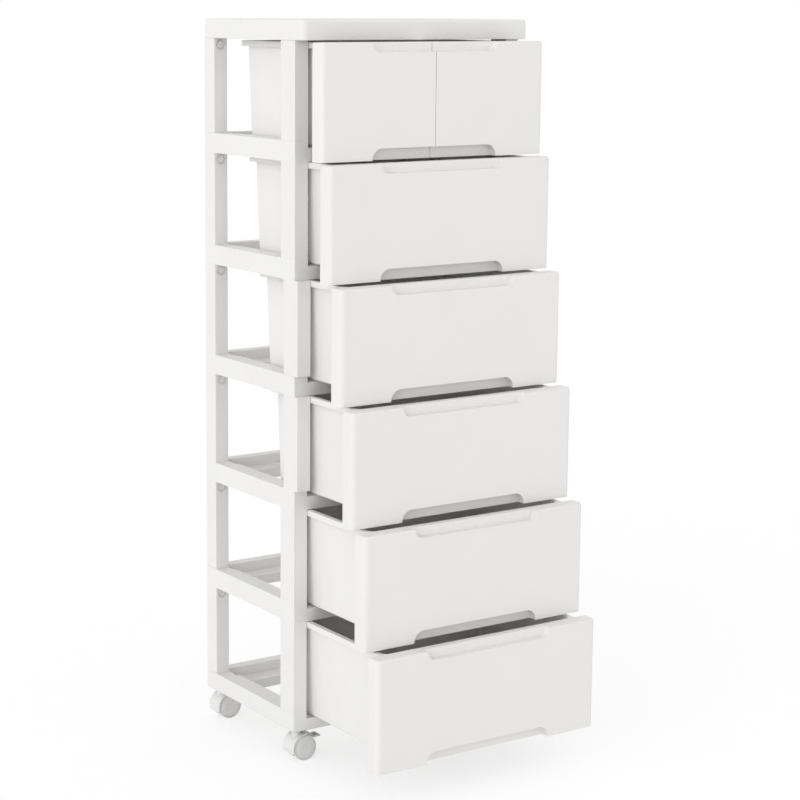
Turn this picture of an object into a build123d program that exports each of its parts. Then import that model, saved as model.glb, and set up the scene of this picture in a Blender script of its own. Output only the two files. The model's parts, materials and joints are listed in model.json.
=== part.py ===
# Rolling drawer tower: six stacked tiers of moulded plastic, seven drawers, four twin-wheel casters.
# Units are millimetres. +Z is up and the drawers open towards -Y.
# The origin is on the floor, below the middle of the tower's outline with the drawers as they stand.
import os
from math import cos, radians, sin, tan

from build123d import *

# ---- frame: the outline that every tier shares
frame_width = 420.0
frame_depth = 272.0
tier_count = 6
tier_pitch = 179.0
band_height = 31.4
band_corner_radius = 1.5
base_lower_radius = 6.0
top_bay_height = 149.8
frame_wall = 3.0

# ---- shelf frame: side rails, back rail, sunk ledge and open middle
rail_width = 29.0
rail_width_rear = 24.4
rail_curve_start = 206.0
rail_curve_length = 12.0
back_rail_width = 19.0
ledge_drop = 15.4
ledge_width_side = 16.0
ledge_width_back = 35.0
ledge_width_front = 22.0
opening_corner_radius = 9.0
front_rail_drop = 10.8
front_rail_width = 14.0
runner_width = 3.2
centre_bar_width = 48.0

# ---- posts between the bands, and the plugs that hold them
post_inset = 0.2
post_width = 24.0
front_post_depth = 39.8
rear_post_depth = 31.1
post_wall = 2.4
post_edge_radius = 0.8
plug_clearance = 0.15
plug_wall = 2.4
plug_up_length = 8.0
plug_down_length = 20.0
forward_tiers = (3, 4)
forward_step = 8.5

# ---- lock pins, one near the top of each post
pin_drop = 10.4
pin_head_diameter = 14.6
pin_head_thickness = 2.0
pin_recess = 0.3
pin_shank_diameter = 7.0
pin_shank_length = 4.0
pin_gap = 0.5
pin_slot_length = 7.6
pin_slot_width = 1.8
pin_slot_depth = 1.0

# ---- top panel
panel_height = 30.8
panel_side_overhang = 1.4
panel_back_overhang = 1.4
panel_front_overhang = 23.0
panel_corner_radius = 10.0
panel_edge_radius = 4.0
panel_skirt_radius = 0.8
panel_wall = 2.8
panel_rib_thickness = 2.4
panel_rib_height = 12.0
panel_rib_count = 3

# ---- drawer fronts
front_depth = 24.0
front_side_margin = 2.4
front_corner_radius = 9.0
front_top_radius = 4.0
front_wall = 1.8
front_bottom_gap = 3.1
top_front_gap = 2.2
front_split_gap = 1.0
grip_width = 231.0
scoop_height = 14.8
scoop_depth = 12.0
scoop_radius = 14.0
notch_height = 18.0
notch_depth = 14.0
notch_radius = 17.0
pocket_wall = 2.0
front_rib_thickness = 1.6
front_rib_spacing = 62.0

# ---- drawer boxes
box_length = 245.5
box_side_gap = 0.6
box_split_gap = 1.0
box_sink = 8.7
box_wall = 1.6
box_floor = 1.6
box_draft = 2.0
box_corner_radius = 6.0
box_foot_radius = 4.0
rim_drop = 0.8
rim_overhang = 6.4
rim_height = 9.0
rim_wall = 1.8
rim_corner_radius = 6.0
slide_gap = 0.3
close_gap = 0.3
stop_width = 12.0
stop_length = 4.0
stop_height = 4.0
stop_inset = 16.0

# ---- how far each drawer's face stands in front of the frame, from the top tier down
stand_out = (69.1, 92.2, 123.8, 156.0, 190.5, 226.8)

# ---- casters
caster_height = 50.0
swivel_inset_side = 18.5
swivel_inset_front = 22.0
swivel_inset_rear = 16.0
caster_trail = 8.5
wheel_diameter = 40.0
wheel_pair_width = 30.4
wheel_split = 11.0
wheel_edge_radius = 1.6
wheel_dish_depth = 0.8
wheel_rim_width = 2.2
wheel_cap_diameter = 9.0
axle_diameter = 4.0
axle_gap = 0.1
hood_gap = 1.2
hood_thickness = 2.0
hood_width = 31.0
hood_reach = 1.0
hood_low = 12.0
web_width = 10.0
web_reach = 1.5
stem_boss_diameter = 14.0
stem_boss_top = 46.0
stem_boss_length = 12.0
stem_gap = 0.3
stem_pin_diameter = 6.0
stem_pin_gap = 0.1
stem_pin_length = 16.0
stem_plug_diameter = 8.0
stem_plug_gap = 0.05
stem_plug_length = 20.0
stem_collar_diameter = 13.0
socket_wall = 3.4
socket_spare = 1.0

# ---- brake levers, on the two front casters
lever_pivot_angle = 78.0
lever_bend_angle = 33.0
lever_gap = 2.2
lever_thickness = 2.4
lever_width = 17.0
lever_tread_reach = 31.0
lever_tread_rise = 13.4
lever_barrel_diameter = 4.8
lever_pin_diameter = 2.4
lever_pin_gap = 0.1
lever_lug_diameter = 5.2
lever_lug_root = 14.0
lever_slot_room = 1.6
lever_side_gap = 0.3

# ---- levels and places worked out from the sizes above
half_width = frame_width / 2
y_front = (max(stand_out) - frame_depth - panel_back_overhang) / 2
y_back = y_front + frame_depth
y_middle = (y_front + y_back) / 2
panel_bottom = caster_height + (tier_count - 1) * tier_pitch + band_height + top_bay_height
total_height = panel_bottom + panel_height
wheel_radius = wheel_diameter / 2
hood_inner = wheel_radius + hood_gap
hood_outer = hood_inner + hood_thickness
lever_inner = wheel_radius + lever_gap
lever_middle = lever_inner + lever_thickness / 2
post_inner = half_width - post_inset - post_width
tiers = range(1, tier_count + 1)
sides = {"left": -1, "right": 1}
ends = ("front", "rear")


def band_bottom(tier):
    return caster_height + (tier_count - tier) * tier_pitch


def band_top(tier):
    return band_bottom(tier) + band_height


def bay_top(tier):
    return panel_bottom if tier == 1 else band_bottom(tier - 1)


def post_span(tier, end):
    """Front and back of a post. The front posts of the forward tiers stand proud of the bands."""
    if end == "rear":
        return y_back - post_inset - rear_post_depth, y_back - post_inset
    step = forward_step if tier in forward_tiers else 0.0
    return y_front - step, y_front - step + front_post_depth


def post_x(side):
    return sides[side] * (post_inner + post_width / 2)


def plug_span(tier, end):
    """Front and back of a plug: inside its post, and never in front of the band that carries it."""
    low, high = post_span(tier, end)
    inset = post_wall + plug_clearance
    return max(low + inset, y_front + plug_clearance), high - inset


def add_plug(tier, side, end, z_low, z_high):
    low, high = plug_span(tier, end)
    width = post_width - 2 * (post_wall + plug_clearance)
    with BuildSketch(Plane.XY.offset(z_low)) as ring:
        with Locations((post_x(side), (low + high) / 2)):
            Rectangle(width, high - low)
            Rectangle(width - 2 * plug_wall, high - low - 2 * plug_wall, mode=Mode.SUBTRACT)
    extrude(ring.sketch, amount=z_high - z_low)


def add_pad(tier, side, end, z_low, thickness):
    """The closed pad that a post's upper end meets, from which its plug hangs."""
    low, high = post_span(tier, end)
    low = max(low, y_front)
    with BuildSketch(Plane.XY.offset(z_low)) as pad:
        with Locations((post_x(side), (low + high) / 2)):
            Rectangle(post_width - 2 * post_edge_radius, high - low - 2 * post_edge_radius)
    extrude(pad.sketch, amount=thickness)


def pin_plane(tier, side, end):
    """The plane of the post's face that takes the lock pin, looking into the bay."""
    low, high = post_span(tier, end)
    y = high if end == "front" else low
    facing = 1 if end == "front" else -1
    place = (post_x(side), y, bay_top(tier) - pin_drop)
    return Plane(origin=place, x_dir=(1, 0, 0), z_dir=(0, facing, 0))


def cut_pin_seat(tier, side, end):
    """The hole in a hanging plug that takes the pin's shank."""
    with BuildSketch(pin_plane(tier, side, end)) as seat:
        Circle(pin_shank_diameter / 2 + plug_clearance)
    extrude(seat.sketch, amount=-post_wall - plug_clearance - 1.5 * plug_wall, mode=Mode.SUBTRACT)


def tray_sketch(z):
    """The sunk tray between the rails. The side rails narrow behind the drawer's back."""
    narrow = half_width - rail_width
    wide = half_width - rail_width_rear
    low = y_front + front_rail_width
    bend = y_front + rail_curve_start
    high = y_back - back_rail_width
    with BuildSketch(Plane.XY.offset(z)) as tray:
        with BuildLine():
            for s in (-1, 1):
                end = (s * wide, bend + rail_curve_length)
                Line((s * narrow, low), (s * narrow, bend))
                Spline((s * narrow, bend), end, tangents=((0, 1), (0, 1)))
                Line(end, (s * wide, high))
            Line((-narrow, low), (narrow, low))
            Line((-wide, high), (wide, high))
        make_face()
    return tray.sketch


def shelf_openings(tier):
    """The open middle, in two halves where two drawers stand side by side."""
    x = half_width - rail_width - ledge_width_side
    low = y_front + front_rail_width + ledge_width_front
    high = y_back - back_rail_width - ledge_width_back
    if tier == 1:
        return [(-x, low, -centre_bar_width / 2, high), (centre_bar_width / 2, low, x, high)]
    return [(-x, low, x, high)]


def opening_sketch(tier, grow, mode):
    for x0, y0, x1, y1 in shelf_openings(tier):
        with Locations(((x0 + x1) / 2, (y0 + y1) / 2)):
            width, depth = x1 - x0 + 2 * grow, y1 - y0 + 2 * grow
            RectangleRounded(width, depth, opening_corner_radius + grow, mode=mode)


def swivel_place(side, end):
    x = sides[side] * (half_width - swivel_inset_side)
    y = y_front + swivel_inset_front if end == "front" else y_back - swivel_inset_rear
    return x, y


def add_caster_socket(side, end, z_low, ceiling):
    """The boss under the base that takes a caster's stem."""
    bore = stem_plug_diameter / 2 + stem_plug_gap
    with BuildSketch(Plane.XY.offset(z_low)) as boss:
        with Locations(swivel_place(side, end)):
            Circle(bore + socket_wall)
    extrude(boss.sketch, amount=ceiling - z_low)
    with BuildSketch(Plane.XY.offset(z_low)) as hole:
        with Locations(swivel_place(side, end)):
            Circle(bore)
    extrude(hole.sketch, amount=stem_plug_length + socket_spare, mode=Mode.SUBTRACT)


def make_shelf(tier):
    """One shelf frame: rails, sunk ledge, runners, and the plugs for the posts above and below it."""
    z0, z1 = band_bottom(tier), band_top(tier)
    ledge = z1 - ledge_drop
    floor = z1 - box_sink
    with BuildPart() as shelf:
        with BuildSketch(Plane.XY.offset(z0)):
            with Locations((0, y_middle)):
                RectangleRounded(frame_width, frame_depth, band_corner_radius)
        extrude(amount=band_height)
        if tier == tier_count:
            lower = shelf.edges().filter_by(Axis.Y).group_by(Axis.Z)[0]
            fillet(lower, radius=base_lower_radius)
        extrude(tray_sketch(z1), amount=-ledge_drop, mode=Mode.SUBTRACT)
        with BuildSketch(Plane.XY.offset(z1)):
            with Locations((0, y_front + front_rail_width / 2)):
                Rectangle(2 * post_inner, front_rail_width)
        extrude(amount=-front_rail_drop, mode=Mode.SUBTRACT)
        # the open middle, and the hollow underside round it
        with BuildSketch(Plane.XY.offset(z0)):
            opening_sketch(tier, 0.0, Mode.ADD)
        extrude(amount=band_height, mode=Mode.SUBTRACT)
        with BuildSketch(Plane.XY.offset(z0)):
            with Locations((0, y_middle)):
                Rectangle(frame_width - 2 * frame_wall, frame_depth - 2 * frame_wall)
            opening_sketch(tier, frame_wall, Mode.SUBTRACT)
        extrude(amount=ledge - frame_wall - z0, mode=Mode.SUBTRACT)
        # runners that carry the drawer, from over the front rail to the back rail
        runner_low = y_front + runner_width
        runner_high = y_back - back_rail_width
        inner_edge = half_width - rail_width - ledge_width_side
        with BuildSketch(Plane.XY.offset(ledge)):
            for s in (-1, 1):
                runner_x = s * (inner_edge + runner_width / 2)
                with Locations((runner_x, (runner_low + runner_high) / 2)):
                    Rectangle(runner_width, runner_high - runner_low)
                if tier == 1:
                    runner_x = s * (centre_bar_width / 2 - frame_wall - runner_width / 2)
                    with Locations((runner_x, (runner_low + runner_high) / 2)):
                        Rectangle(runner_width, runner_high - runner_low)
        extrude(amount=floor - slide_gap - ledge)
        for side in sides:
            for end in ends:
                add_plug(tier, side, end, z1, z1 + plug_up_length)
                if tier == tier_count:
                    add_caster_socket(side, end, z0, ledge)
                else:
                    add_pad(tier + 1, side, end, z0, frame_wall)
                    add_plug(tier + 1, side, end, z0 - plug_down_length, z0)
                    cut_pin_seat(tier + 1, side, end)
    return shelf.part


def make_post(tier, side, end):
    """A hollow post between two bands, with a mouth for a plug at each end and a seat for its pin."""
    low, high = post_span(tier, end)
    plug_low, plug_high = plug_span(tier, end)
    z0, z1 = band_top(tier), bay_top(tier)
    x = post_x(side)
    inner_width = post_width - 2 * post_wall
    with BuildPart() as post:
        with BuildSketch(Plane.XY.offset(z0)):
            with Locations((x, (low + high) / 2)):
                RectangleRounded(post_width, high - low, post_edge_radius)
        extrude(amount=z1 - z0)
        with BuildSketch(Plane.XY.offset(z0 + post_wall)):
            with Locations((x, (low + high) / 2)):
                Rectangle(inner_width, high - low - 2 * post_wall)
        extrude(amount=z1 - z0 - 2 * post_wall, mode=Mode.SUBTRACT)
        with BuildSketch(Plane.XY.offset(z0)):
            with Locations((x, (plug_low + plug_high) / 2)):
                Rectangle(inner_width, plug_high - plug_low + 2 * plug_clearance)
        extrude(amount=z1 - z0, mode=Mode.SUBTRACT)
        with BuildSketch(pin_plane(tier, side, end)):
            Circle(pin_head_diameter / 2 + pin_gap)
        extrude(amount=-post_wall, mode=Mode.SUBTRACT)
    return post.part


def make_pins():
    """All the lock pins: a round head with a crossed slot, sunk in the post, and a shank behind it."""
    heads = [pin_plane(t, s, e).offset(-pin_recess) for t in tiers for s in sides for e in ends]
    with BuildPart() as pins:
        with BuildSketch(*heads):
            Circle(pin_head_diameter / 2)
        extrude(amount=-pin_head_thickness)
        with BuildSketch(*heads):
            Circle(pin_shank_diameter / 2)
        extrude(amount=-pin_head_thickness - pin_shank_length)
        with BuildSketch(*heads):
            Rectangle(pin_slot_length, pin_slot_width)
            Rectangle(pin_slot_width, pin_slot_length)
        extrude(amount=-pin_slot_depth, mode=Mode.SUBTRACT)
    return pins.part


def make_top_panel():
    """The top: a shallow lid with a skirt, ribs below, and plugs for the top tier's posts."""
    width = frame_width + 2 * panel_side_overhang
    depth = frame_depth + panel_front_overhang + panel_back_overhang
    middle = y_back + panel_back_overhang - depth / 2
    inner_width = width - 2 * panel_wall
    inner_depth = depth - 2 * panel_wall
    ceiling = total_height - panel_wall
    with BuildPart() as panel:
        with BuildSketch(Plane.XY.offset(panel_bottom)):
            with Locations((0, middle)):
                RectangleRounded(width, depth, panel_corner_radius)
        extrude(amount=panel_height)
        fillet(panel.edges().group_by(Axis.Z)[-1], radius=panel_edge_radius)
        fillet(panel.edges().group_by(Axis.Z)[0], radius=panel_skirt_radius)
        with BuildSketch(Plane.XY.offset(panel_bottom)):
            with Locations((0, middle)):
                RectangleRounded(inner_width, inner_depth, panel_corner_radius - panel_wall)
        extrude(amount=panel_height - panel_wall, mode=Mode.SUBTRACT)
        with BuildSketch(Plane.XY.offset(ceiling)):
            with Locations((0, middle)):
                with GridLocations(0, inner_depth / (panel_rib_count + 1), 1, panel_rib_count):
                    Rectangle(inner_width, panel_rib_thickness)
                with GridLocations(inner_width / (panel_rib_count + 1), 0, panel_rib_count, 1):
                    Rectangle(panel_rib_thickness, inner_depth)
        extrude(amount=-panel_rib_height)
        for side in sides:
            for end in ends:
                add_pad(1, side, end, panel_bottom, panel_wall)
                add_plug(1, side, end, panel_bottom - plug_down_length, ceiling)
                cut_pin_seat(1, side, end)
    return panel.part


def drawer_levels(tier):
    """Top and bottom of a drawer's front, and the underside of its box."""
    top = bay_top(tier) - (top_front_gap if tier == 1 else 0.0)
    return top, band_bottom(tier) + front_bottom_gap, band_top(tier) - box_sink


def drawer_face(tier):
    return y_front - stand_out[tier - 1]


def grip_sketch(plane, x0, x1, low, high, radius, closed_end):
    """The outline of a finger pocket on a face, rounded in the outer corners of its closed end."""
    with BuildSketch(plane) as outline:
        with Locations(((x0 + x1) / 2, (low + high) / 2)):
            Rectangle(x1 - x0, high - low)
        row = outline.vertices().group_by(Axis.Y)[closed_end]
        fillet([v for v in row if abs(v.X) > grip_width / 2 - pocket_wall], radius=radius)
    return outline.sketch


def make_front(tier, x0, x1):
    """A drawer's front: a hollow panel with a finger scoop at its top and a notch at its bottom."""
    top, base, _ = drawer_levels(tier)
    y0 = drawer_face(tier)
    grip = grip_width / 2
    span = (max(x0, -grip), min(x1, grip))
    walls = (max(x0, -grip - pocket_wall), min(x1, grip + pocket_wall))
    scoop_low = top - scoop_height
    notch_top = base + notch_height
    face = Plane.XZ.offset(-y0)
    behind = face.offset(-front_wall)
    with BuildPart() as front:
        with BuildSketch(Plane.XY.offset(base)) as outline:
            with Locations(((x0 + x1) / 2, y0 + front_depth / 2)):
                Rectangle(x1 - x0, front_depth)
            nose = outline.vertices().group_by(Axis.Y)[0]
            fillet([v for v in nose if abs(v.X) > grip], radius=front_corner_radius)
        extrude(amount=top - base)
        nose_edges = front.edges().filter_by(Axis.X).group_by(Axis.Y)[0]
        fillet(nose_edges.sort_by(Axis.Z)[-1], radius=front_top_radius)
        with BuildSketch(Plane.XY.offset(base + front_wall)) as hollow:
            with Locations(((x0 + x1) / 2, y0 + (front_wall + front_depth) / 2)):
                Rectangle(x1 - x0 - 2 * front_wall, front_depth - front_wall)
            nose = hollow.vertices().group_by(Axis.Y)[0]
            fillet([v for v in nose if abs(v.X) > grip], radius=front_corner_radius - front_wall)
        extrude(amount=top - base - 2 * front_wall, mode=Mode.SUBTRACT)
        # upright ribs, and the walls round both pockets
        rib_count = int((x1 - x0) / front_rib_spacing)
        with BuildSketch(Plane.XY.offset(base + front_wall / 2)):
            with Locations(((x0 + x1) / 2, y0 + (front_wall + front_depth) / 2)):
                with GridLocations((x1 - x0) / rib_count, 0, rib_count - 1, 1):
                    Rectangle(front_rib_thickness, front_depth - front_wall)
        extrude(amount=top - base - front_wall)
        ceiling, sill = top - front_wall / 2, base + front_wall / 2
        block = grip_sketch(behind, *walls, scoop_low - pocket_wall, ceiling, scoop_radius, 0)
        extrude(block, amount=-scoop_depth - pocket_wall + front_wall)
        block = grip_sketch(behind, *walls, sill, notch_top + pocket_wall, notch_radius, -1)
        extrude(block, amount=-notch_depth - pocket_wall + front_wall)
        # the pockets, open at the front and past the edge
        pocket = grip_sketch(face, *span, scoop_low, top + front_wall, scoop_radius, 0)
        extrude(pocket, amount=-scoop_depth, mode=Mode.SUBTRACT)
        pocket = grip_sketch(face, *span, base - front_wall, notch_top, notch_radius, -1)
        extrude(pocket, amount=-notch_depth, mode=Mode.SUBTRACT)
    return front.part


def make_box(tier, x0, x1):
    """A drawer's box: drafted walls, a turned-down rim round three sides, and two stops below."""
    top, _, floor = drawer_levels(tier)
    top = top - rim_drop
    y0 = drawer_face(tier) + front_depth
    middle = (x0 + x1) / 2
    slope = tan(radians(box_draft))
    lean = (top - floor) * slope
    wide_top, deep_top = x1 - x0 - 2 * rim_overhang, box_length - rim_overhang
    wide_low, deep_low = wide_top - 2 * lean, deep_top - 2 * lean
    inner_grow = 2 * (box_floor * slope - box_wall)
    with BuildPart() as box:
        with BuildSketch(Plane.XY.offset(top)) as rim:
            with Locations((middle, y0 + box_length / 2)):
                Rectangle(x1 - x0, box_length)
            fillet(rim.vertices().group_by(Axis.Y)[-1], radius=rim_corner_radius)
        extrude(amount=-rim_height)
        with BuildSketch(Plane.XY.offset(top - rim_wall)) as under_rim:
            with Locations((middle, y0 + (box_length - rim_wall) / 2)):
                Rectangle(x1 - x0 - 2 * rim_wall, box_length - rim_wall)
            fillet(under_rim.vertices().group_by(Axis.Y)[-1], radius=rim_corner_radius - rim_wall)
        extrude(amount=rim_wall - rim_height, mode=Mode.SUBTRACT)
        with BuildSketch(Plane.XY.offset(floor)):
            with Locations((middle, y0 + deep_top / 2)):
                RectangleRounded(wide_low, deep_low, box_corner_radius)
        extrude(amount=top - floor, taper=-box_draft)
        fillet(box.edges().group_by(Axis.Z)[0], radius=box_foot_radius)
        with BuildSketch(Plane.XY.offset(floor + box_floor)):
            with Locations((middle, y0 + deep_top / 2)):
                low_wide, low_deep = wide_low + inner_grow, deep_low + inner_grow
                RectangleRounded(low_wide, low_deep, box_corner_radius - box_wall)
        extrude(amount=top - floor - box_floor, taper=-box_draft, mode=Mode.SUBTRACT)
        inside = box.faces().filter_by(Axis.Z).sort_by(Axis.Z)[1]
        fillet(inside.edges(), radius=box_foot_radius - box_floor)
        stop_y = y0 + deep_top - lean - box_foot_radius - stop_length / 2
        stop_x = wide_low / 2 - stop_inset - stop_width / 2
        with BuildSketch(Plane.XY.offset(floor)):
            with Locations((middle - stop_x, stop_y), (middle + stop_x, stop_y)):
                Rectangle(stop_width, stop_length)
        extrude(amount=-stop_height)
    return box.part


def make_stems():
    """The four caster stems: a plug in the base's socket, a collar under it and the swivel pin."""
    places = [swivel_place(side, end) for side in sides for end in ends]
    pin_top = stem_boss_top + stem_gap
    with BuildPart() as stems:
        with BuildSketch(Plane.XY.offset(caster_height)):
            with Locations(*places):
                Circle(stem_plug_diameter / 2)
        extrude(amount=stem_plug_length)
        with BuildSketch(Plane.XY.offset(pin_top)):
            with Locations(*places):
                Circle(stem_collar_diameter / 2)
        extrude(amount=caster_height - pin_top)
        with BuildSketch(Plane.XY.offset(pin_top)):
            with Locations(*places):
                Circle(stem_pin_diameter / 2)
        extrude(amount=-stem_pin_length)
    return stems.part


def axle_plane(side, end):
    """The plane of a caster's middle, with its origin on the axle. The wheels trail inwards."""
    x, y = swivel_place(side, end)
    return Plane(origin=(x - sides[side] * caster_trail, y, wheel_radius), x_dir=(1, 0, 0), z_dir=(0, -1, 0))


def polar(radius, angle, side):
    return -sides[side] * radius * cos(radians(angle)), radius * sin(radians(angle))


def make_hood(side, end):
    """A caster's hood: a shell over the wheels, a web between them and the boss for the stem."""
    inward = -sides[side]
    middle = axle_plane(side, end)
    x, y = swivel_place(side, end)
    keep_width = hood_outer + hood_reach
    keep_height = hood_outer + wheel_radius - hood_low
    keep_place = (inward * (hood_reach - keep_width / 2), hood_low - wheel_radius + keep_height / 2)
    with BuildPart() as hood:
        with BuildSketch(middle):
            Circle(hood_outer)
            with Locations(keep_place):
                Rectangle(keep_width, keep_height, mode=Mode.INTERSECT)
        extrude(amount=hood_width / 2, both=True)
        with BuildSketch(Plane.XY.offset(stem_boss_top)):
            with Locations((x, y)):
                Circle(stem_boss_diameter / 2)
        extrude(amount=-stem_boss_length)
        with BuildSketch(middle.offset(web_width / 2), middle.offset(-hood_width / 2)):
            Circle(hood_inner)
        extrude(amount=(hood_width - web_width) / 2, mode=Mode.SUBTRACT)
        with BuildSketch(middle):
            Circle(hood_inner)
            with Locations((inward * (web_reach - hood_inner / 2), keep_place[1])):
                Rectangle(hood_inner, keep_height, mode=Mode.INTERSECT)
            Circle(lever_lug_root / 2)
        extrude(amount=web_width / 2, both=True)
        if end == "front":
            with BuildSketch(middle):
                Circle(lever_lug_root / 2)
                with Locations(polar(lever_middle, lever_pivot_angle, side)):
                    Circle(lever_lug_diameter / 2)
                make_hull()
            extrude(amount=web_width / 2, both=True)
            with BuildSketch(middle):
                with Locations(polar(lever_middle, lever_pivot_angle, side)):
                    Circle(lever_pin_diameter / 2 + lever_pin_gap)
            extrude(amount=web_width, both=True, mode=Mode.SUBTRACT)
        with BuildSketch(middle):
            Circle(axle_diameter / 2 + axle_gap)
        extrude(amount=web_width, both=True, mode=Mode.SUBTRACT)
        with BuildSketch(Plane.XY.offset(stem_boss_top)):
            with Locations((x, y)):
                Circle(stem_pin_diameter / 2 + stem_pin_gap)
        extrude(amount=-stem_pin_length, mode=Mode.SUBTRACT)
    return hood.part


def make_wheels(side, end):
    """Two wheels on one axle, with a shallow dish and a flush cap on each outer face."""
    x, y = swivel_place(side, end)
    axle_x = x - sides[side] * caster_trail
    outer, inner = wheel_pair_width / 2, wheel_split / 2
    dish = outer - wheel_dish_depth
    rim = wheel_radius - wheel_rim_width
    cap = wheel_cap_diameter / 2
    half = [(0, outer), (cap, outer), (cap, dish), (rim, dish), (rim, outer), (wheel_radius, outer)]
    half += [(wheel_radius, inner), (axle_diameter / 2, inner)]
    profile = half + [(r, -w) for r, w in reversed(half)]
    with BuildPart() as wheels:
        with BuildSketch(Plane(origin=(axle_x, y, wheel_radius))) as section:
            with BuildLine():
                Polyline(*profile, close=True)
            make_face()
            fillet(section.vertices().group_by(Axis.X)[-1], radius=wheel_edge_radius)
        revolve(axis=Axis((axle_x, y, wheel_radius), (0, 1, 0)))
    return wheels.part


def make_lever(side):
    """A brake lever: a curved pad over the wheels with a flat tread, hinged through the hood's lug."""
    middle = axle_plane(side, "front")
    pivot = polar(lever_middle, lever_pivot_angle, side)
    bend = polar(lever_middle, lever_bend_angle, side)
    tip = (-sides[side] * lever_tread_reach, lever_tread_rise)
    far = 2 * lever_middle
    wedge = [(0, 0), polar(far, lever_pivot_angle, side), polar(far, lever_bend_angle, side)]
    slot = web_width + 2 * lever_side_gap
    with BuildPart() as lever:
        with BuildSketch(middle):
            Circle(lever_inner + lever_thickness)
            Circle(lever_inner, mode=Mode.SUBTRACT)
            Polygon(*wedge, align=None, mode=Mode.INTERSECT)
            with Locations(pivot):
                Circle(lever_barrel_diameter / 2)
        extrude(amount=lever_width / 2, both=True)
        with BuildSketch(middle):
            with Locations(bend, tip):
                Circle(lever_thickness / 2)
            make_hull()
        extrude(amount=lever_width / 2, both=True)
        with BuildSketch(middle):
            Circle(lever_lug_root / 2 + lever_slot_room)
            with Locations(pivot):
                Circle(lever_lug_diameter / 2 + lever_slot_room)
            make_hull()
        extrude(amount=slot / 2, both=True, mode=Mode.SUBTRACT)
        with BuildSketch(middle):
            with Locations(pivot):
                Circle(lever_pin_diameter / 2)
        extrude(amount=lever_width / 2, both=True)
    return lever.part


def write_step(piece, name):
    piece.label = name
    export_step(piece, f"parts/{name}.step")


os.makedirs("parts", exist_ok=True)

write_step(make_top_panel(), "top_panel")
for tier in tiers:
    shelf_name = "base_frame" if tier == tier_count else f"shelf_frame_{tier}"
    write_step(make_shelf(tier), shelf_name)
    for side in sides:
        for end in ends:
            write_step(make_post(tier, side, end), f"post_{tier}_{side}_{end}")
write_step(make_pins(), "lock_pins")

front_edge = half_width - front_side_margin
box_edge = post_inner - box_side_gap
for tier in tiers:
    if tier == 1:
        front_split, box_split = front_split_gap / 2, box_split_gap / 2
        write_step(make_front(tier, -front_edge, -front_split), "drawer_front_1_left")
        write_step(make_front(tier, front_split, front_edge), "drawer_front_1_right")
        write_step(make_box(tier, -box_edge, -box_split), "drawer_box_1_left")
        write_step(make_box(tier, box_split, box_edge), "drawer_box_1_right")
    else:
        write_step(make_front(tier, -front_edge, front_edge), f"drawer_front_{tier}")
        write_step(make_box(tier, -box_edge, box_edge), f"drawer_box_{tier}")

write_step(make_stems(), "caster_stems")
for side in sides:
    for end in ends:
        write_step(make_hood(side, end), f"caster_hood_{side}_{end}")
        write_step(make_wheels(side, end), f"caster_wheels_{side}_{end}")
    write_step(make_lever(side), f"brake_lever_{side}")

# ---- how far each drawer travels from where it stands
stop_face = box_length - rim_overhang - box_foot_radius - stop_length
stop_face -= (bay_top(2) - rim_drop - band_top(2) + box_sink) * tan(radians(box_draft))
for tier in tiers:
    step = forward_step if tier in forward_tiers else 0.0
    opened = stand_out[tier - 1] - front_depth - close_gap - step
    reach = stop_face - front_rail_width - 2 * close_gap - step - opened
    print(f"drawer {tier}: closes {opened:.2f}, opens {reach:.2f} further")
print(f"y_front {y_front:.2f}, height {total_height:.2f}")
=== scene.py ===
import json
import math
import bpy
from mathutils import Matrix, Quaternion, Vector


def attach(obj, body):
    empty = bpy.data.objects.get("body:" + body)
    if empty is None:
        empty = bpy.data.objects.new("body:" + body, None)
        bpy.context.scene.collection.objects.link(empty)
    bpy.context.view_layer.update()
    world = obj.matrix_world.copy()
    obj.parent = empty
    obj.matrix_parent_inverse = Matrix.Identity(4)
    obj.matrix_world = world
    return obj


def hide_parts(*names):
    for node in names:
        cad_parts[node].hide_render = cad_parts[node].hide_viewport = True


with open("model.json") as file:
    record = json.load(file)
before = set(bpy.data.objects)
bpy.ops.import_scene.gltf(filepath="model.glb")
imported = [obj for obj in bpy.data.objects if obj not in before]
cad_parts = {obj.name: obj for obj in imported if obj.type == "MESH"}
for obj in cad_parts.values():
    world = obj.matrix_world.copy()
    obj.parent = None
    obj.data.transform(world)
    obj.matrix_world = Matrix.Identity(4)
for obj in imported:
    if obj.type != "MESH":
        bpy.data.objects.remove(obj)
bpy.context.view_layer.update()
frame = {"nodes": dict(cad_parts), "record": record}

scene = bpy.context.scene
nodes = frame["nodes"]
bodies = frame["record"]["behaviour"]["bodies"]
sideNames = ("left", "right")
endNames = ("front", "rear")
tierNumbers = range(1, 7)
drawerNames = ("1_left", "1_right", "2", "3", "4", "5", "6")

# ---------- camera, fitted to the photograph
cameraSettings = {
    "place": (-1.8628, -2.6583, 1.1745),
    "yaw": 32.82,  # degrees from +Y towards +X
    "pitch": 9.11,  # degrees down
    "roll": 0.22,
    "lens": 93.32,
    "sensor": 36,
    "shift": (0.1, -0.075),
    "clip": (0.1, 60),
}


def addCamera(s):
    data = bpy.data.cameras.new("photoCamera")
    data.sensor_width = s["sensor"]
    data.lens = s["lens"]
    data.shift_x, data.shift_y = s["shift"]
    data.clip_start, data.clip_end = s["clip"]
    camera = bpy.data.objects.new("photoCamera", data)
    scene.collection.objects.link(camera)
    camera.location = s["place"]
    swing = Quaternion((0, 0, 1), -math.radians(s["yaw"]))
    tip = Quaternion((1, 0, 0), math.radians(90 - s["pitch"]))
    lean = Quaternion((0, 0, 1), math.radians(s["roll"]))
    camera.rotation_mode = "QUATERNION"
    camera.rotation_quaternion = swing @ tip @ lean
    scene.camera = camera


addCamera(cameraSettings)
print("camera placed")

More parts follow.
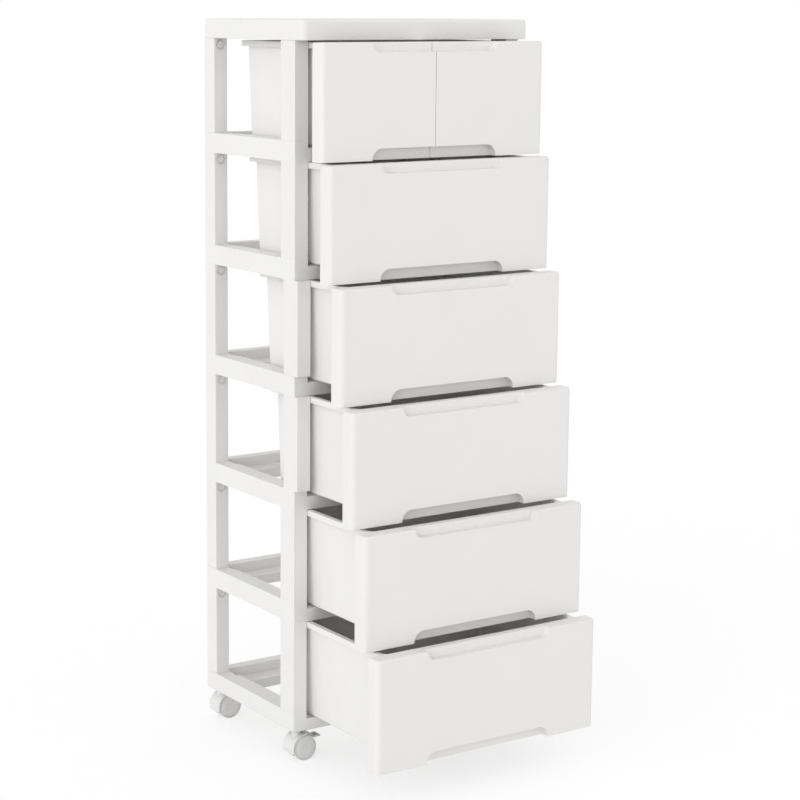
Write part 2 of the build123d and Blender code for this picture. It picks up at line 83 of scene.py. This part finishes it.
# ---------- light: a white room and one broad soft lamp from the front left
lightSettings = {
    "wallStrength": 1.18,
    "ceilingStrength": 0.66,
    "lampDirection": (-0.91, -0.40, 0.10),  # towards the lamp
    "lampDistance": 4.0,
    "lampStrength": 1.13,
    "lampBreadth": 60.0,
    "floorSize": 80.0,
    "floorColour": 0.90,
    "floorSeen": 0.40,  # how much of the lit floor the camera sees
    "floorLift": 0.65,  # the even white it sees on top of that
}


def eitherRay(tree, first, second):
    pick = tree.nodes.new("ShaderNodeMath")
    pick.operation = "MAXIMUM"
    tree.links.new(first, pick.inputs[0])
    tree.links.new(second, pick.inputs[1])
    return pick.outputs[0]


def addRoom(s):
    world = bpy.data.worlds.new("whiteRoom")
    scene.world = world
    world.use_nodes = True
    tree = world.node_tree
    tree.nodes.clear()
    towards = tree.nodes.new("ShaderNodeTexCoord")
    height = tree.nodes.new("ShaderNodeSeparateXYZ")
    fade = tree.nodes.new("ShaderNodeMapRange")  # the room is dimmer overhead
    fade.inputs["To Min"].default_value = s["wallStrength"]
    fade.inputs["To Max"].default_value = s["ceilingStrength"]
    lit = tree.nodes.new("ShaderNodeBackground")
    lit.inputs["Color"].default_value = (1, 1, 1, 1)
    white = tree.nodes.new("ShaderNodeBackground")
    white.inputs["Color"].default_value = (1, 1, 1, 1)
    white.inputs["Strength"].default_value = 1.0
    path = tree.nodes.new("ShaderNodeLightPath")
    mix = tree.nodes.new("ShaderNodeMixShader")
    out = tree.nodes.new("ShaderNodeOutputWorld")
    tree.links.new(towards.outputs["Generated"], height.inputs[0])
    tree.links.new(height.outputs["Z"], fade.inputs["Value"])
    tree.links.new(fade.outputs["Result"], lit.inputs["Strength"])
    seen = eitherRay(tree, path.outputs["Is Camera Ray"], path.outputs["Is Glossy Ray"])
    seen = eitherRay(tree, seen, path.outputs["Is Transmission Ray"])
    tree.links.new(seen, mix.inputs["Fac"])
    tree.links.new(lit.outputs[0], mix.inputs[1])
    tree.links.new(white.outputs[0], mix.inputs[2])
    tree.links.new(mix.outputs[0], out.inputs["Surface"])


def addLamp(s):
    towards = Vector(s["lampDirection"])
    data = bpy.data.lights.new("softLamp", "SUN")
    data.energy = s["lampStrength"]
    data.angle = math.radians(s["lampBreadth"])
    lamp = bpy.data.objects.new("softLamp", data)
    scene.collection.objects.link(lamp)
    lamp.location = towards * s["lampDistance"]
    lamp.rotation_mode = "QUATERNION"
    lamp.rotation_quaternion = (-towards).to_track_quat("-Z", "Y")


def addFloor(s):
    bpy.ops.object.select_all(action="DESELECT")
    bpy.ops.mesh.primitive_plane_add(size=s["floorSize"], location=(0, 0, 0))
    floor = bpy.context.object
    floor.name = "studioFloor"
    paint = bpy.data.materials.new("floorPaint")
    paint.use_nodes = True
    tree = paint.node_tree
    tree.nodes.clear()
    bounce = tree.nodes.new("ShaderNodeBsdfDiffuse")
    bounce.inputs["Color"].default_value = (s["floorColour"],) * 3 + (1,)
    shown = tree.nodes.new("ShaderNodeBsdfDiffuse")
    shown.inputs["Color"].default_value = (s["floorSeen"],) * 3 + (1,)
    lift = tree.nodes.new("ShaderNodeEmission")
    lift.inputs["Strength"].default_value = s["floorLift"]
    both = tree.nodes.new("ShaderNodeAddShader")
    path = tree.nodes.new("ShaderNodeLightPath")
    mix = tree.nodes.new("ShaderNodeMixShader")
    out = tree.nodes.new("ShaderNodeOutputMaterial")
    seen = eitherRay(tree, path.outputs["Is Camera Ray"], path.outputs["Is Glossy Ray"])
    tree.links.new(shown.outputs[0], both.inputs[0])
    tree.links.new(lift.outputs[0], both.inputs[1])
    tree.links.new(seen, mix.inputs["Fac"])
    tree.links.new(bounce.outputs[0], mix.inputs[1])
    tree.links.new(both.outputs[0], mix.inputs[2])
    tree.links.new(mix.outputs[0], out.inputs["Surface"])
    floor.data.materials.append(paint)


addRoom(lightSettings)
addLamp(lightSettings)
addFloor(lightSettings)
scene.view_settings.view_transform = "Standard"
print("room lit")

# ---------- finishes
finishSettings = {
    "shellWhite": {
        "colour": (0.826, 0.821, 0.804), "tint": (0.810, 0.804, 0.785),
        "rough": (0.40, 0.50), "grain": 1500, "grainDepth": 0.03, "slot": "white_shell",
    },
    "postWhite": {
        "colour": (0.821, 0.814, 0.796), "tint": (0.804, 0.796, 0.778),
        "rough": (0.40, 0.50), "grain": 1500, "grainDepth": 0.03, "slot": "white_post",
    },
    "faceWhite": {
        "colour": (0.829, 0.821, 0.804), "tint": (0.817, 0.809, 0.791),
        "rough": (0.34, 0.42), "grain": 2200, "grainDepth": 0.015, "slot": "drawer_face",
    },
    "boxWhite": {
        "colour": (0.840, 0.834, 0.817), "tint": (0.826, 0.818, 0.800),
        "rough": (0.42, 0.55), "grain": 1200, "grainDepth": 0.035, "slot": "drawer_box",
    },
    "pinWhite": {
        "colour": (0.790, 0.783, 0.768), "tint": (0.770, 0.763, 0.748),
        "rough": (0.35, 0.45), "grain": 1800, "grainDepth": 0.02, "slot": "pin_plastic",
    },
    "casterWhite": {
        "colour": (0.790, 0.790, 0.781), "tint": (0.772, 0.772, 0.763),
        "rough": (0.22, 0.30), "grain": 1800, "grainDepth": 0.012, "slot": "caster_white",
    },
    "wheelGrey": {
        "colour": (0.770, 0.764, 0.752), "tint": (0.745, 0.738, 0.726),
        "rough": (0.38, 0.50), "grain": 1600, "grainDepth": 0.03, "slot": "wheel_grey",
    },
    "leverGrey": {
        "colour": (0.640, 0.635, 0.622), "tint": (0.615, 0.608, 0.596),
        "rough": (0.35, 0.45), "grain": 1600, "grainDepth": 0.03, "slot": "lever_grey",
    },
}
plasticSettings = {
    "ior": 1.46,
    "cloud": (9.0, 3.0),  # scale and detail of the faint change of colour from the mould
    "cloudEnds": (0.35, 0.65),
    "streak": (45.0, 4.0),  # patches of gloss
    "grainDetail": 2.0,
    "bumpReach": 0.0004,
}
steelSettings = {
    "stretch": (1, 1, 30),  # turning marks round the stem
    "marks": 120.0,
    "dark": (0.48, 0.48, 0.47, 1),
    "light": (0.68, 0.68, 0.67, 1),
    "rough": (0.22, 0.38),
}


def startFinish(name):
    finish = bpy.data.materials.new(name)
    finish.use_nodes = True
    tree = finish.node_tree
    return finish, tree, tree.nodes["Principled BSDF"]


def addNoise(tree, source, scale, detail=2.0):
    noise = tree.nodes.new("ShaderNodeTexNoise")
    noise.inputs["Scale"].default_value = scale
    noise.inputs["Detail"].default_value = detail
    tree.links.new(source, noise.inputs["Vector"])
    return noise.outputs["Fac"]


def addTones(tree, source, shader, dark, light):
    tones = tree.nodes.new("ShaderNodeValToRGB")
    tones.color_ramp.elements[0].color = dark
    tones.color_ramp.elements[1].color = light
    tree.links.new(source, tones.inputs["Fac"])
    tree.links.new(tones.outputs["Color"], shader.inputs["Base Color"])
    return tones


def addGloss(tree, source, shader, rough):
    gloss = tree.nodes.new("ShaderNodeMapRange")
    gloss.inputs["To Min"].default_value, gloss.inputs["To Max"].default_value = rough
    tree.links.new(source, gloss.inputs["Value"])
    tree.links.new(gloss.outputs["Result"], shader.inputs["Roughness"])


def makePlastic(name, s, p):
    finish, tree, shader = startFinish(name)
    shader.inputs["IOR"].default_value = p["ior"]
    place = tree.nodes.new("ShaderNodeTexCoord").outputs["Object"]
    tones = addTones(tree, addNoise(tree, place, *p["cloud"]), shader, (*s["tint"], 1), (*s["colour"], 1))
    tones.color_ramp.elements[0].position, tones.color_ramp.elements[1].position = p["cloudEnds"]
    addGloss(tree, addNoise(tree, place, *p["streak"]), shader, s["rough"])
    bump = tree.nodes.new("ShaderNodeBump")  # spark-eroded mould texture
    bump.inputs["Strength"].default_value = s["grainDepth"]
    bump.inputs["Distance"].default_value = p["bumpReach"]
    tree.links.new(addNoise(tree, place, s["grain"], p["grainDetail"]), bump.inputs["Height"])
    tree.links.new(bump.outputs["Normal"], shader.inputs["Normal"])
    return finish


def makeSteel(name, s):
    finish, tree, shader = startFinish(name)
    shader.inputs["Metallic"].default_value = 1.0
    place = tree.nodes.new("ShaderNodeTexCoord").outputs["Object"]
    stretch = tree.nodes.new("ShaderNodeMapping")
    stretch.inputs["Scale"].default_value = s["stretch"]
    tree.links.new(place, stretch.inputs["Vector"])
    marks = addNoise(tree, stretch.outputs["Vector"], s["marks"])
    addTones(tree, marks, shader, s["dark"], s["light"])
    addGloss(tree, marks, shader, s["rough"])
    return finish


finishes = {name: makePlastic(name, s, plasticSettings) for name, s in finishSettings.items()}
finishes["stemSteel"] = makeSteel("stemSteel", steelSettings)
print("finishes made:", len(finishes))

# ---------- shared steps
edgeSettings = {
    "mergeReach": 0.00002,
    "flatAngle": 0.6,  # degrees, below which the CAD mesh counts as flat
    "mouldAngle": 38,  # degrees, above which a moulding's edge is rounded
    "partAngle": 30,
    "smoothAngle": 35,
    "steps": 2,
    "top": 0.0007,
    "shelf": 0.0008,
    "post": 0.0006,
    "front": 0.0007,
    "box": 0.0004,
    "caster": 0.0004,
}


def pickOnly(piece):
    if bpy.context.mode != "OBJECT":
        bpy.ops.object.mode_set(mode="OBJECT")
    bpy.ops.object.select_all(action="DESELECT")
    piece.select_set(True)
    bpy.context.view_layer.objects.active = piece


def setFinish(piece, name):
    piece.data.materials.clear()
    piece.data.materials.append(finishes[name])


def finishPiece(piece, name, finishName, nodeName):
    piece.name = name
    setFinish(piece, finishName)
    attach(piece, next(body for body, members in bodies.items() if nodeName in members))
    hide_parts(nodeName)


def softenEdges(piece, width, steps, angle=edgeSettings["partAngle"]):
    bpy.ops.object.mode_set(mode="OBJECT")
    soften = piece.modifiers.new("edgeRadius", "BEVEL")
    soften.width = width
    soften.segments = steps
    soften.limit_method = "ANGLE"
    soften.angle_limit = math.radians(angle)
    bpy.ops.object.modifier_apply(modifier=soften.name)
    bpy.ops.object.shade_smooth_by_angle(angle=math.radians(edgeSettings["smoothAngle"]))


def mouldedCopy(nodeName, radius):  # the CAD's shape with its edges broken by the mould's radius
    mesh = nodes[nodeName].data.copy()
    mesh.materials.clear()
    piece = bpy.data.objects.new(nodeName, mesh)
    scene.collection.objects.link(piece)
    pickOnly(piece)
    bpy.ops.object.mode_set(mode="EDIT")
    bpy.ops.mesh.select_all(action="SELECT")
    bpy.ops.mesh.remove_doubles(threshold=edgeSettings["mergeReach"])
    bpy.ops.mesh.dissolve_limited(angle_limit=math.radians(edgeSettings["flatAngle"]))
    softenEdges(piece, radius, edgeSettings["steps"], edgeSettings["mouldAngle"])
    steady = piece.modifiers.new("flatFaces", "WEIGHTED_NORMAL")  # keeps broad faces flat beside their radii
    steady.keep_sharp = True
    bpy.ops.object.modifier_apply(modifier=steady.name)
    return piece


def dressMoulding(nodeName, name, finishName, edgeName):
    finishPiece(mouldedCopy(nodeName, edgeSettings[edgeName]), name, finishName, nodeName)


def pickFace(piece, height, radius):  # the flat face at this height whose corners lie within this radius
    bpy.ops.object.mode_set(mode="OBJECT")
    mesh = piece.data
    for part in (*mesh.edges, *mesh.vertices):
        part.select = False
    for face in mesh.polygons:
        wide = max(math.hypot(*mesh.vertices[v].co.xy) for v in face.vertices)
        level = abs(face.center.z - height) < 1e-5 and abs(face.normal.z) > 0.9
        face.select = level and wide < radius + 1e-5
        if face.select:
            for v in face.vertices:
                mesh.vertices[v].select = True
    bpy.ops.object.mode_set(mode="EDIT")
    bpy.ops.mesh.select_mode(type="FACE")


def pushFace(amount):
    bpy.ops.mesh.extrude_region_move(TRANSFORM_OT_translate={"value": (0, 0, amount)})


def insetFace(amount):
    bpy.ops.mesh.inset(thickness=amount, depth=0)


def roundBlock(name, size, edge, steps):
    bpy.ops.object.select_all(action="DESELECT")
    bpy.ops.mesh.primitive_cube_add(size=1)
    block = bpy.context.object
    block.name = name
    block.scale = size
    bpy.ops.object.transform_apply(location=False, rotation=False, scale=True)
    softenEdges(block, edge, steps)
    return block


def placedCopy(piece, place, turn):
    twin = bpy.data.objects.new(piece.name, piece.data.copy())
    scene.collection.objects.link(twin)
    twin.location = place
    twin.rotation_euler = turn
    return twin


def joinAll(parts):  # one piece at the origin, with its place in its mesh
    bpy.ops.object.select_all(action="DESELECT")
    for part in parts:
        part.select_set(True)
    bpy.context.view_layer.objects.active = parts[0]
    bpy.ops.object.transform_apply(location=True, rotation=True, scale=True)
    bpy.ops.object.join()
    return parts[0]


def dropPiece(piece):
    bpy.data.objects.remove(piece, do_unlink=True)


# ---------- mouldings: top, shelf frames, posts, drawers, caster hoods
dressMoulding("top_panel", "topLid", "shellWhite", "top")
for tier in tierNumbers:
    shelfNode = "base_frame" if tier == 6 else f"shelf_frame_{tier}"
    dressMoulding(shelfNode, f"shelf_{tier}", "shellWhite", "shelf")
    for side in sideNames:
        for end in endNames:
            place = f"{tier}_{side}_{end}"
            dressMoulding(f"post_{place}", f"upright_{place}", "postWhite", "post")
for drawer in drawerNames:
    dressMoulding(f"drawer_front_{drawer}", f"face_{drawer}", "faceWhite", "front")
    dressMoulding(f"drawer_box_{drawer}", f"bin_{drawer}", "boxWhite", "box")
for side in sideNames:
    for end in endNames:
        dressMoulding(f"caster_hood_{side}_{end}", f"hood_{side}_{end}", "casterWhite", "caster")
setFinish(nodes["caster_stems"], "stemSteel")
print("mouldings dressed")

# ---------- caster wheels
wheelSettings = {
    "radius": 0.020,
    "width": 0.0097,
    "split": 0.011,  # between the two wheels of a pair
    "corners": 72,
    "tyreLip": 0.0013,
    "grooveWidth": 0.0009,
    "grooveDepth": 0.0018,
    "discSink": 0.0002,  # the disc stands this much below the tyre's lip
    "capRadius": 0.0045,
    "capStep": 0.0004,
    "backRim": 0.004,
    "backRing": 0.008,  # width of the sunk ring on the inner side
    "backSink": 0.0012,
    "edge": 0.00035,
    "edgeSteps": 2,
    "trackX": {"left": -0.183, "right": 0.183},
    "trackY": {"front": -0.0013, "rear": 0.2327},
}
axleSettings = {
    "radius": 0.002,
    "corners": 32,
    "bite": 0.001,  # how far it goes into each wheel
    "tip": 0.0003,
    "edge": 0.0001,
    "edgeSteps": 1,
}


def modelWheel(s):  # lies flat, its outer face up
    bpy.ops.object.select_all(action="DESELECT")
    bpy.ops.mesh.primitive_cylinder_add(vertices=s["corners"], radius=s["radius"], depth=s["width"])
    wheel = bpy.context.object
    wheel.name = "wheel"
    top = s["width"] / 2
    pickFace(wheel, top, s["radius"])
    insetFace(s["tyreLip"])
    pushFace(-s["grooveDepth"])
    insetFace(s["grooveWidth"])
    pushFace(s["grooveDepth"] - s["discSink"])
    insetFace(s["radius"] - s["tyreLip"] - s["grooveWidth"] - s["capRadius"])
    pushFace(-s["discSink"])
    insetFace(s["capStep"])
    pushFace(s["discSink"] * 2)
    pickFace(wheel, -top, s["radius"])
    insetFace(s["backRim"])
    pushFace(s["backSink"])
    insetFace(s["backRing"])
    pushFace(-s["backSink"])
    softenEdges(wheel, s["edge"], s["edgeSteps"])
    return wheel


def modelAxle(s, split):
    bpy.ops.object.select_all(action="DESELECT")
    length = split + 2 * s["bite"]
    bpy.ops.mesh.primitive_cylinder_add(vertices=s["corners"], radius=s["radius"], depth=length)
    axle = bpy.context.object
    axle.name = "axle"
    pickFace(axle, length / 2, s["radius"])
    insetFace(s["tip"])
    pushFace(s["tip"])
    softenEdges(axle, s["edge"], s["edgeSteps"])
    return axle


wheelMaster = modelWheel(wheelSettings)
axleMaster = modelAxle(axleSettings, wheelSettings["split"])
wheelOffset = (wheelSettings["split"] + wheelSettings["width"]) / 2
for side in sideNames:
    for end in endNames:
        x, y, z = wheelSettings["trackX"][side], wheelSettings["trackY"][end], wheelSettings["radius"]
        near = placedCopy(wheelMaster, (x, y - wheelOffset, z), (math.pi / 2, 0, 0))
        far = placedCopy(wheelMaster, (x, y + wheelOffset, z), (-math.pi / 2, 0, 0))
        rod = placedCopy(axleMaster, (x, y, z), (math.pi / 2, 0, 0))
        pair = joinAll([near, far, rod])
        finishPiece(pair, f"wheelPair_{side}_{end}", "wheelGrey", f"caster_wheels_{side}_{end}")
dropPiece(wheelMaster)
dropPiece(axleMaster)
print("wheels modelled")

# ---------- brake levers on the front casters
leverSettings = {
    "ribs": (0.0235, 0.0262, 0.0289),  # distance of each grip rib from the axle
    "ribRise": 0.0147,  # the tread's upper face above the axle
    "rib": (0.0011, 0.0130, 0.0012),
    "ribEdge": 0.0004,
    "ribSteps": 3,
}

ribMaster = roundBlock("gripRib", leverSettings["rib"], leverSettings["ribEdge"], leverSettings["ribSteps"])
ribLevel = wheelSettings["radius"] + leverSettings["ribRise"]
for side, inward in (("left", 1), ("right", -1)):
    parts = [mouldedCopy(f"brake_lever_{side}", edgeSettings["caster"])]
    for reach in leverSettings["ribs"]:
        x = wheelSettings["trackX"][side] + inward * reach
        parts.append(placedCopy(ribMaster, (x, wheelSettings["trackY"]["front"], ribLevel), (0, 0, 0)))
    finishPiece(joinAll(parts), f"brakePad_{side}", "leverGrey", f"brake_lever_{side}")
dropPiece(ribMaster)
print("brake levers modelled")

# ---------- lock pins on the posts
pinSettings = {
    "radius": 0.0073,
    "corners": 48,
    "thick": 0.002,
    "recess": 0.0003,  # below the post's face
    "rim": 0.0009,
    "groove": 0.0012,
    "grooveDepth": 0.0014,
    "dishRim": 0.0028,
    "dishDepth": 0.0002,
    "shankRadius": 0.0035,
    "shankLength": 0.004,
    "edge": 0.00018,
    "edgeSteps": 2,
    "tab": (0.0010, 0.0024, 0.0010),  # the two tabs that hold the head from above
    "tabEdge": 0.0002,
    "tabPlace": (0.0056, 0.0083),
    "columns": {"left": -0.1978, "right": 0.1978},
    "rows": (1.1158, 0.9346, 0.7556, 0.5766, 0.3976, 0.2186),
    "rearFace": 0.2174,
    "frontFace": (0.0165, 0.0165, 0.0080, 0.0080, 0.0165, 0.0165),
}


def modelPin(s):  # lies flat, its head up at the height of the post's face
    bpy.ops.object.select_all(action="DESELECT")
    bpy.ops.mesh.primitive_cylinder_add(
        vertices=s["corners"], radius=s["radius"], depth=s["thick"],
        location=(0, 0, -s["recess"] - s["thick"] / 2))
    pin = bpy.context.object
    pin.name = "lockPin"
    bpy.ops.object.transform_apply(location=True, rotation=False, scale=False)
    pickFace(pin, -s["recess"], s["radius"])
    insetFace(s["rim"])
    pushFace(-s["grooveDepth"])
    insetFace(s["groove"])
    pushFace(s["grooveDepth"])
    insetFace(s["dishRim"])
    pushFace(-s["dishDepth"])
    pickFace(pin, -s["recess"] - s["thick"], s["radius"])
    insetFace(s["radius"] - s["shankRadius"])
    pushFace(-s["shankLength"])
    softenEdges(pin, s["edge"], s["edgeSteps"])
    parts = [pin]
    for across in (-1, 1):
        tab = roundBlock("pinTab", s["tab"], s["tabEdge"], s["edgeSteps"])
        tab.location = (across * s["tabPlace"][0], s["tabPlace"][1], 0)
        parts.append(tab)
    return joinAll(parts)


pinMaster = modelPin(pinSettings)
pins = []
for level, frontFace in zip(pinSettings["rows"], pinSettings["frontFace"]):
    for column in pinSettings["columns"].values():
        pins.append(placedCopy(pinMaster, (column, pinSettings["rearFace"], level), (math.pi / 2, 0, 0)))
        pins.append(placedCopy(pinMaster, (column, frontFace, level), (math.pi / 2, 0, math.pi)))
dropPiece(pinMaster)
finishPiece(joinAll(pins), "lockPins", "pinWhite", "lock_pins")
print("lock pins modelled")
